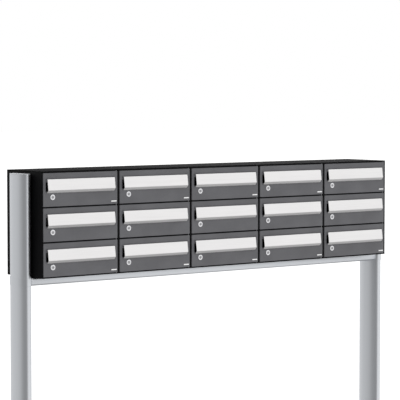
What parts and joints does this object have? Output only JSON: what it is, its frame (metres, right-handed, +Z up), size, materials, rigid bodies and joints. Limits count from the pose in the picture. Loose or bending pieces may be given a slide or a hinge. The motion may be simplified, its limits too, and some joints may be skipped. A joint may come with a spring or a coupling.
{
  "type": "cluster mailbox unit",
  "caption": "Bank of letterboxes with weather flaps, cam locks and side-hinged doors, carried between two oval posts on a cross beam.",
  "frame": {"origin": "on the ground, in the middle of the outer size", "axes": "+X along the row of letterboxes, +Y from the fronts to the back, +Z up"},
  "size_m": [2.148, 0.2742, 1.5],
  "materials": {
    "door_coat": "fine textured powder coat, anthracite",
    "frame_coat": "satin powder coat, near black",
    "flap_steel": "brushed stainless steel, grain along the flap",
    "lock_chrome": "polished",
    "post_aluminium": "satin anodised",
    "zinc_steel": "zinc plated"
  },
  "bodies": {
    "carcass": {"side_panels": "frame_coat", "dividers": "frame_coat", "shelves": "frame_coat", "floor_panel": "frame_coat", "top_panel": "frame_coat", "back_panel": "frame_coat", "roof": "frame_coat", "support_beam": "post_aluminium", "beam_collars": "post_aluminium", "posts": "post_aluminium", "post_caps": "post_aluminium", "foot_plates": "post_aluminium", "door_hinge_pins": "zinc_steel", "lock_strikers": "frame_coat", "fasteners": "zinc_steel"},
    "door_r1c1": {"door_r1c1": "door_coat"},
    "flap_r1c1": {"flap_r1c1": "flap_steel"},
    "lock_r1c1": {"lock_r1c1": "lock_chrome"},
    "door_r1c2": {"door_r1c2": "door_coat"},
    "flap_r1c2": {"flap_r1c2": "flap_steel"},
    "lock_r1c2": {"lock_r1c2": "lock_chrome"},
    "door_r1c3": {"door_r1c3": "door_coat"},
    "flap_r1c3": {"flap_r1c3": "flap_steel"},
    "lock_r1c3": {"lock_r1c3": "lock_chrome"},
    "door_r1c4": {"door_r1c4": "door_coat"},
    "flap_r1c4": {"flap_r1c4": "flap_steel"},
    "lock_r1c4": {"lock_r1c4": "lock_chrome"},
    "door_r1c5": {"door_r1c5": "door_coat"},
    "flap_r1c5": {"flap_r1c5": "flap_steel"},
    "lock_r1c5": {"lock_r1c5": "lock_chrome"},
    "door_r2c1": {"door_r2c1": "door_coat"},
    "flap_r2c1": {"flap_r2c1": "flap_steel"},
    "lock_r2c1": {"lock_r2c1": "lock_chrome"},
    "door_r2c2": {"door_r2c2": "door_coat"},
    "flap_r2c2": {"flap_r2c2": "flap_steel"},
    "lock_r2c2": {"lock_r2c2": "lock_chrome"},
    "door_r2c3": {"door_r2c3": "door_coat"},
    "flap_r2c3": {"flap_r2c3": "flap_steel"},
    "lock_r2c3": {"lock_r2c3": "lock_chrome"},
    "door_r2c4": {"door_r2c4": "door_coat"},
    "flap_r2c4": {"flap_r2c4": "flap_steel"},
    "lock_r2c4": {"lock_r2c4": "lock_chrome"},
    "door_r2c5": {"door_r2c5": "door_coat"},
    "flap_r2c5": {"flap_r2c5": "flap_steel"},
    "lock_r2c5": {"lock_r2c5": "lock_chrome"},
    "door_r3c1": {"door_r3c1": "door_coat"},
    "flap_r3c1": {"flap_r3c1": "flap_steel"},
    "lock_r3c1": {"lock_r3c1": "lock_chrome"},
    "door_r3c2": {"door_r3c2": "door_coat"},
    "flap_r3c2": {"flap_r3c2": "flap_steel"},
    "lock_r3c2": {"lock_r3c2": "lock_chrome"},
    "door_r3c3": {"door_r3c3": "door_coat"},
    "flap_r3c3": {"flap_r3c3": "flap_steel"},
    "lock_r3c3": {"lock_r3c3": "lock_chrome"},
    "door_r3c4": {"door_r3c4": "door_coat"},
    "flap_r3c4": {"flap_r3c4": "flap_steel"},
    "lock_r3c4": {"lock_r3c4": "lock_chrome"},
    "door_r3c5": {"door_r3c5": "door_coat"},
    "flap_r3c5": {"flap_r3c5": "flap_steel"},
    "lock_r3c5": {"lock_r3c5": "lock_chrome"}
  },
  "joints": [
    {"name": "door_r1c1_hinge", "type": "hinge", "parent": "carcass", "child": "door_r1c1", "pos_m": [-0.5954, -0.12076, 1.423], "axis": [0, 0, 1], "range_deg": [0, 95]},
    {"name": "flap_r1c1_hinge", "type": "hinge", "parent": "door_r1c1", "child": "flap_r1c1", "pos_m": [-0.78, -0.12876, 1.4645], "axis": [-1, 0, 0], "range_deg": [0, 75]},
    {"name": "lock_r1c1_turn", "type": "hinge", "parent": "door_r1c1", "child": "lock_r1c1", "pos_m": [-0.923, -0.12526, 1.3925], "axis": [0, 1, 0], "range_deg": [0, 90]},
    {"name": "door_r1c2_hinge", "type": "hinge", "parent": "carcass", "child": "door_r1c2", "pos_m": [-0.2054, -0.12076, 1.423], "axis": [0, 0, 1], "range_deg": [0, 95]},
    {"name": "flap_r1c2_hinge", "type": "hinge", "parent": "door_r1c2", "child": "flap_r1c2", "pos_m": [-0.39, -0.12876, 1.4645], "axis": [-1, 0, 0], "range_deg": [0, 75]},
    {"name": "lock_r1c2_turn", "type": "hinge", "parent": "door_r1c2", "child": "lock_r1c2", "pos_m": [-0.533, -0.12526, 1.3925], "axis": [0, 1, 0], "range_deg": [0, 90]},
    {"name": "door_r1c3_hinge", "type": "hinge", "parent": "carcass", "child": "door_r1c3", "pos_m": [0.1846, -0.12076, 1.423], "axis": [0, 0, 1], "range_deg": [0, 95]},
    {"name": "flap_r1c3_hinge", "type": "hinge", "parent": "door_r1c3", "child": "flap_r1c3", "pos_m": [0, -0.12876, 1.4645], "axis": [-1, 0, 0], "range_deg": [0, 75]},
    {"name": "lock_r1c3_turn", "type": "hinge", "parent": "door_r1c3", "child": "lock_r1c3", "pos_m": [-0.143, -0.12526, 1.3925], "axis": [0, 1, 0], "range_deg": [0, 90]},
    {"name": "door_r1c4_hinge", "type": "hinge", "parent": "carcass", "child": "door_r1c4", "pos_m": [0.5746, -0.12076, 1.423], "axis": [0, 0, 1], "range_deg": [0, 95]},
    {"name": "flap_r1c4_hinge", "type": "hinge", "parent": "door_r1c4", "child": "flap_r1c4", "pos_m": [0.39, -0.12876, 1.4645], "axis": [-1, 0, 0], "range_deg": [0, 75]},
    {"name": "lock_r1c4_turn", "type": "hinge", "parent": "door_r1c4", "child": "lock_r1c4", "pos_m": [0.247, -0.12526, 1.3925], "axis": [0, 1, 0], "range_deg": [0, 90]},
    {"name": "door_r1c5_hinge", "type": "hinge", "parent": "carcass", "child": "door_r1c5", "pos_m": [0.9646, -0.12076, 1.423], "axis": [0, 0, 1], "range_deg": [0, 95]},
    {"name": "flap_r1c5_hinge", "type": "hinge", "parent": "door_r1c5", "child": "flap_r1c5", "pos_m": [0.78, -0.12876, 1.4645], "axis": [-1, 0, 0], "range_deg": [0, 75]},
    {"name": "lock_r1c5_turn", "type": "hinge", "parent": "door_r1c5", "child": "lock_r1c5", "pos_m": [0.637, -0.12526, 1.3925], "axis": [0, 1, 0], "range_deg": [0, 90]},
    {"name": "door_r2c1_hinge", "type": "hinge", "parent": "carcass", "child": "door_r2c1", "pos_m": [-0.5954, -0.12076, 1.278], "axis": [0, 0, 1], "range_deg": [0, 95]},
    {"name": "flap_r2c1_hinge", "type": "hinge", "parent": "door_r2c1", "child": "flap_r2c1", "pos_m": [-0.78, -0.12876, 1.3195], "axis": [-1, 0, 0], "range_deg": [0, 75]},
    {"name": "lock_r2c1_turn", "type": "hinge", "parent": "door_r2c1", "child": "lock_r2c1", "pos_m": [-0.923, -0.12526, 1.2475], "axis": [0, 1, 0], "range_deg": [0, 90]},
    {"name": "door_r2c2_hinge", "type": "hinge", "parent": "carcass", "child": "door_r2c2", "pos_m": [-0.2054, -0.12076, 1.278], "axis": [0, 0, 1], "range_deg": [0, 95]},
    {"name": "flap_r2c2_hinge", "type": "hinge", "parent": "door_r2c2", "child": "flap_r2c2", "pos_m": [-0.39, -0.12876, 1.3195], "axis": [-1, 0, 0], "range_deg": [0, 75]},
    {"name": "lock_r2c2_turn", "type": "hinge", "parent": "door_r2c2", "child": "lock_r2c2", "pos_m": [-0.533, -0.12526, 1.2475], "axis": [0, 1, 0], "range_deg": [0, 90]},
    {"name": "door_r2c3_hinge", "type": "hinge", "parent": "carcass", "child": "door_r2c3", "pos_m": [0.1846, -0.12076, 1.278], "axis": [0, 0, 1], "range_deg": [0, 95]},
    {"name": "flap_r2c3_hinge", "type": "hinge", "parent": "door_r2c3", "child": "flap_r2c3", "pos_m": [0, -0.12876, 1.3195], "axis": [-1, 0, 0], "range_deg": [0, 75]},
    {"name": "lock_r2c3_turn", "type": "hinge", "parent": "door_r2c3", "child": "lock_r2c3", "pos_m": [-0.143, -0.12526, 1.2475], "axis": [0, 1, 0], "range_deg": [0, 90]},
    {"name": "door_r2c4_hinge", "type": "hinge", "parent": "carcass", "child": "door_r2c4", "pos_m": [0.5746, -0.12076, 1.278], "axis": [0, 0, 1], "range_deg": [0, 95]},
    {"name": "flap_r2c4_hinge", "type": "hinge", "parent": "door_r2c4", "child": "flap_r2c4", "pos_m": [0.39, -0.12876, 1.3195], "axis": [-1, 0, 0], "range_deg": [0, 75]},
    {"name": "lock_r2c4_turn", "type": "hinge", "parent": "door_r2c4", "child": "lock_r2c4", "pos_m": [0.247, -0.12526, 1.2475], "axis": [0, 1, 0], "range_deg": [0, 90]},
    {"name": "door_r2c5_hinge", "type": "hinge", "parent": "carcass", "child": "door_r2c5", "pos_m": [0.9646, -0.12076, 1.278], "axis": [0, 0, 1], "range_deg": [0, 95]},
    {"name": "flap_r2c5_hinge", "type": "hinge", "parent": "door_r2c5", "child": "flap_r2c5", "pos_m": [0.78, -0.12876, 1.3195], "axis": [-1, 0, 0], "range_deg": [0, 75]},
    {"name": "lock_r2c5_turn", "type": "hinge", "parent": "door_r2c5", "child": "lock_r2c5", "pos_m": [0.637, -0.12526, 1.2475], "axis": [0, 1, 0], "range_deg": [0, 90]},
    {"name": "door_r3c1_hinge", "type": "hinge", "parent": "carcass", "child": "door_r3c1", "pos_m": [-0.5954, -0.12076, 1.133], "axis": [0, 0, 1], "range_deg": [0, 95]},
    {"name": "flap_r3c1_hinge", "type": "hinge", "parent": "door_r3c1", "child": "flap_r3c1", "pos_m": [-0.78, -0.12876, 1.1745], "axis": [-1, 0, 0], "range_deg": [0, 75]},
    {"name": "lock_r3c1_turn", "type": "hinge", "parent": "door_r3c1", "child": "lock_r3c1", "pos_m": [-0.923, -0.12526, 1.1025], "axis": [0, 1, 0], "range_deg": [0, 90]},
    {"name": "door_r3c2_hinge", "type": "hinge", "parent": "carcass", "child": "door_r3c2", "pos_m": [-0.2054, -0.12076, 1.133], "axis": [0, 0, 1], "range_deg": [0, 95]},
    {"name": "flap_r3c2_hinge", "type": "hinge", "parent": "door_r3c2", "child": "flap_r3c2", "pos_m": [-0.39, -0.12876, 1.1745], "axis": [-1, 0, 0], "range_deg": [0, 75]},
    {"name": "lock_r3c2_turn", "type": "hinge", "parent": "door_r3c2", "child": "lock_r3c2", "pos_m": [-0.533, -0.12526, 1.1025], "axis": [0, 1, 0], "range_deg": [0, 90]},
    {"name": "door_r3c3_hinge", "type": "hinge", "parent": "carcass", "child": "door_r3c3", "pos_m": [0.1846, -0.12076, 1.133], "axis": [0, 0, 1], "range_deg": [0, 95]},
    {"name": "flap_r3c3_hinge", "type": "hinge", "parent": "door_r3c3", "child": "flap_r3c3", "pos_m": [0, -0.12876, 1.1745], "axis": [-1, 0, 0], "range_deg": [0, 75]},
    {"name": "lock_r3c3_turn", "type": "hinge", "parent": "door_r3c3", "child": "lock_r3c3", "pos_m": [-0.143, -0.12526, 1.1025], "axis": [0, 1, 0], "range_deg": [0, 90]},
    {"name": "door_r3c4_hinge", "type": "hinge", "parent": "carcass", "child": "door_r3c4", "pos_m": [0.5746, -0.12076, 1.133], "axis": [0, 0, 1], "range_deg": [0, 95]},
    {"name": "flap_r3c4_hinge", "type": "hinge", "parent": "door_r3c4", "child": "flap_r3c4", "pos_m": [0.39, -0.12876, 1.1745], "axis": [-1, 0, 0], "range_deg": [0, 75]},
    {"name": "lock_r3c4_turn", "type": "hinge", "parent": "door_r3c4", "child": "lock_r3c4", "pos_m": [0.247, -0.12526, 1.1025], "axis": [0, 1, 0], "range_deg": [0, 90]},
    {"name": "door_r3c5_hinge", "type": "hinge", "parent": "carcass", "child": "door_r3c5", "pos_m": [0.9646, -0.12076, 1.133], "axis": [0, 0, 1], "range_deg": [0, 95]},
    {"name": "flap_r3c5_hinge", "type": "hinge", "parent": "door_r3c5", "child": "flap_r3c5", "pos_m": [0.78, -0.12876, 1.1745], "axis": [-1, 0, 0], "range_deg": [0, 75]},
    {"name": "lock_r3c5_turn", "type": "hinge", "parent": "door_r3c5", "child": "lock_r3c5", "pos_m": [0.637, -0.12526, 1.1025], "axis": [0, 1, 0], "range_deg": [0, 90]}
  ]
}
